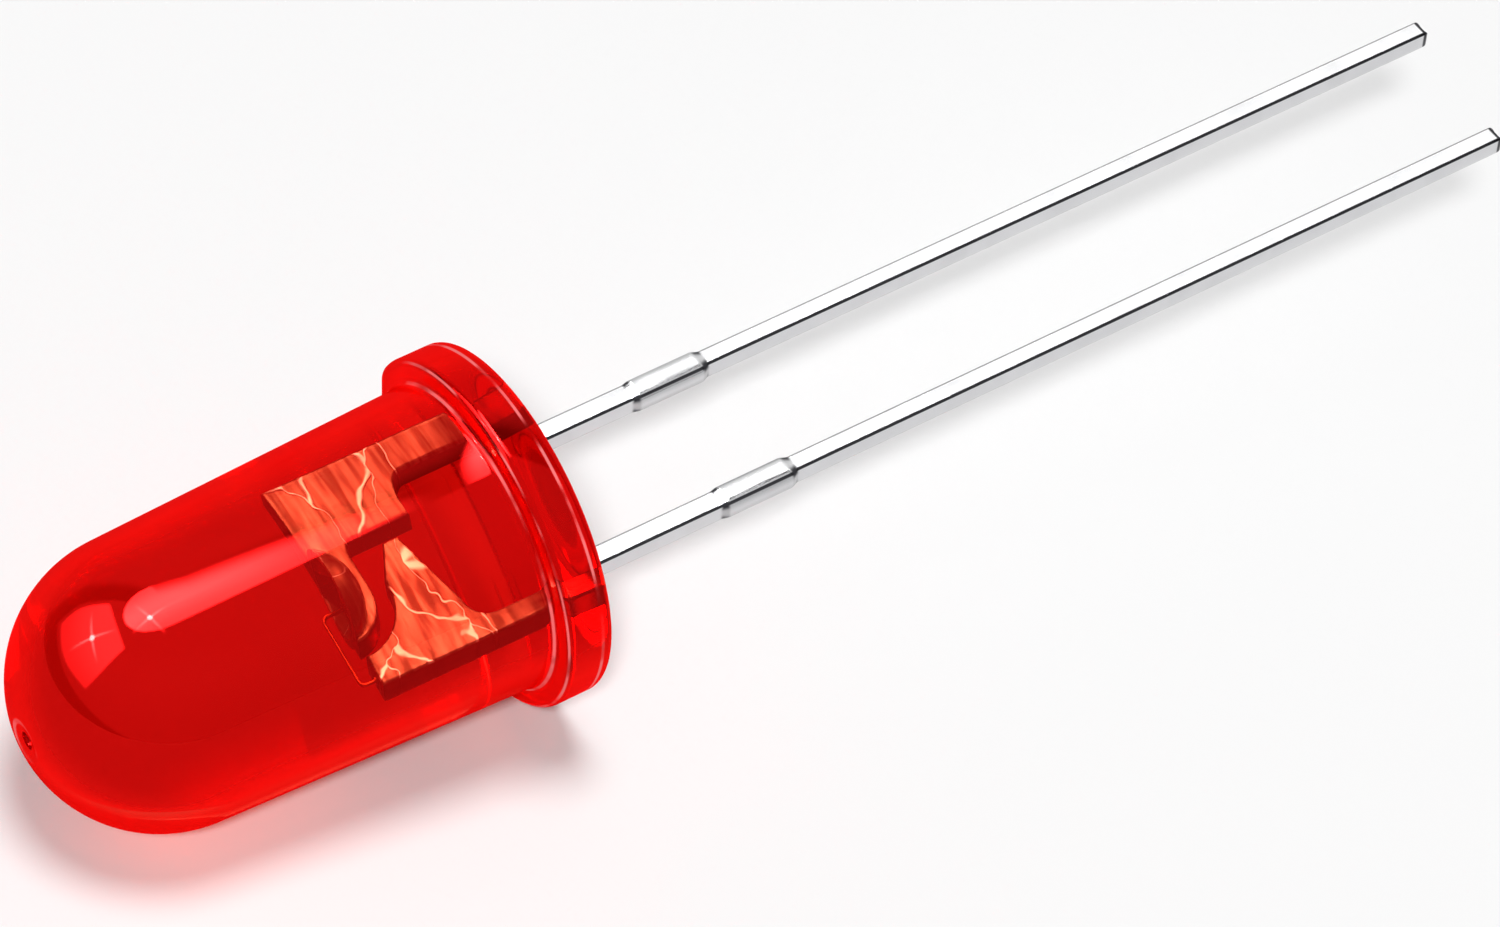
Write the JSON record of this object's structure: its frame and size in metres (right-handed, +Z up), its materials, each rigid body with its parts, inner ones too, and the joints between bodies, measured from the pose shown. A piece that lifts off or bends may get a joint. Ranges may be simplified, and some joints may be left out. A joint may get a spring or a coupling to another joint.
{
  "type": "light-emitting diode",
  "caption": "Through-hole light-emitting diode: domed clear red resin case with a collar, a stamped lead frame cast inside it and straight square leads.",
  "frame": {"origin": "on the surface that the diode lies on, below the middle of its footprint", "axes": "+Z up; -Y towards the dome and +Y along the leads, which rise gently; +X from the cathode lead, on the side of the collar's flat, to the anode lead"},
  "size_m": [0.0054, 0.0268, 0.0058],
  "materials": {
    "red_resin": "gloss",
    "tinned_steel": "polished",
    "die": "gloss",
    "silver_glue": "satin",
    "gold_wire": "polished"
  },
  "bodies": {
    "root": {"epoxy_case": "red_resin", "cathode_lead": "tinned_steel", "anode_lead": "tinned_steel", "led_die": "die", "die_attach": "silver_glue", "bond_wire": "gold_wire"}
  },
  "joints": []
}
